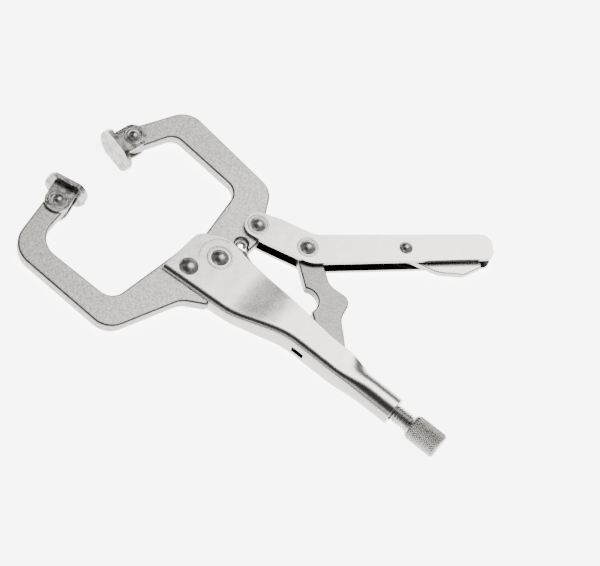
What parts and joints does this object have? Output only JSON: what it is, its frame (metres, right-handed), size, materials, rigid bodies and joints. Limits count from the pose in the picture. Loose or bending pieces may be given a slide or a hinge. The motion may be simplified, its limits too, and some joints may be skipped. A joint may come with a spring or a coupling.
{
  "type": "locking c-clamp pliers",
  "caption": "Nickel-plated locking C-clamp pliers: two bowed jaws with swivel pads, a lever with a toggle link, an adjusting screw and a release lever.",
  "frame": {"origin": "middle of the fixed pad's clamping face, half way through the tool's thickness", "axes": "+X to the rear along the adjusting screw, +Y from the body towards the lever, +Z along the rivets; the tool lies flat on one side"},
  "size_m": [0.1767, 0.1291, 0.0136],
  "materials": {
    "blasted_jaw": "nickel plate over a fine sand-blasted surface, satin, with brighter edges",
    "satin_sheet": "satin nickel plate on pressed sheet steel",
    "pad_nickel": "bright nickel plate on folded sheet steel",
    "rivet_bright": "polished domed rivet heads",
    "screw_steel": "nickel plate on a rolled thread and a knurled knob",
    "spring_wire": "zinc-plated spring wire"
  },
  "bodies": {
    "body": {"body": "satin_sheet", "fixed_jaw": "blasted_jaw", "jaw_pivot_rivet": "rivet_bright", "fixed_jaw_rivet": "rivet_bright", "spring": "spring_wire"},
    "moving_jaw": {"moving_jaw": "blasted_jaw"},
    "lever": {"lever": "satin_sheet", "lever_jaw_rivet": "rivet_bright", "lever_link_rivet": "rivet_bright", "release_pin": "rivet_bright"},
    "link": {"link": "satin_sheet"},
    "release_lever": {"release_lever": "satin_sheet"},
    "adjusting_screw": {"adjusting_screw": "screw_steel"},
    "fixed_pad": {"fixed_pad": "pad_nickel", "fixed_pad_pin": "rivet_bright"},
    "moving_pad": {"moving_pad": "pad_nickel", "moving_pad_pin": "rivet_bright"}
  },
  "joints": [
    {"name": "jaw_pivot", "type": "hinge", "parent": "body", "child": "moving_jaw", "pos_m": [0.06139, 0.01419, 0], "axis": [0, 0, 1], "range_deg": [-5, 18.5], "deforming": ["spring"]},
    {"name": "lever_pivot", "type": "hinge", "parent": "moving_jaw", "child": "lever", "pos_m": [0.06309, 0.03529, 0], "axis": [0, 0, 1], "range_deg": [-50, 13.6]},
    {"name": "link_pivot", "type": "hinge", "parent": "lever", "child": "link", "pos_m": [0.08281, 0.04068, 0], "axis": [0, 0, 1], "range_deg": [-13.1, 48.2]},
    {"name": "release_pivot", "type": "hinge", "parent": "lever", "child": "release_lever", "pos_m": [0.11035, 0.06652, 0], "axis": [0, 0, 1], "range_deg": [0, 6]},
    {"name": "screw_travel", "type": "slide", "parent": "body", "child": "adjusting_screw", "axis": [1, 0, 0], "range_m": [0, 0.009]},
    {"name": "fixed_pad_swivel", "type": "hinge", "parent": "body", "child": "fixed_pad", "pos_m": [0.00179, -0.00841, 0], "axis": [0, 0, 1], "range_deg": [-18, 18]},
    {"name": "moving_pad_swivel", "type": "hinge", "parent": "moving_jaw", "child": "moving_pad", "pos_m": [0.00449, 0.03269, 0], "axis": [0, 0, 1], "range_deg": [-18, 18]}
  ],
  "couplings": [
    {"joint": "lever_pivot", "follows": "jaw_pivot", "ratio": -2.7},
    {"joint": "link_pivot", "follows": "jaw_pivot", "ratio": 2.6}
  ]
}
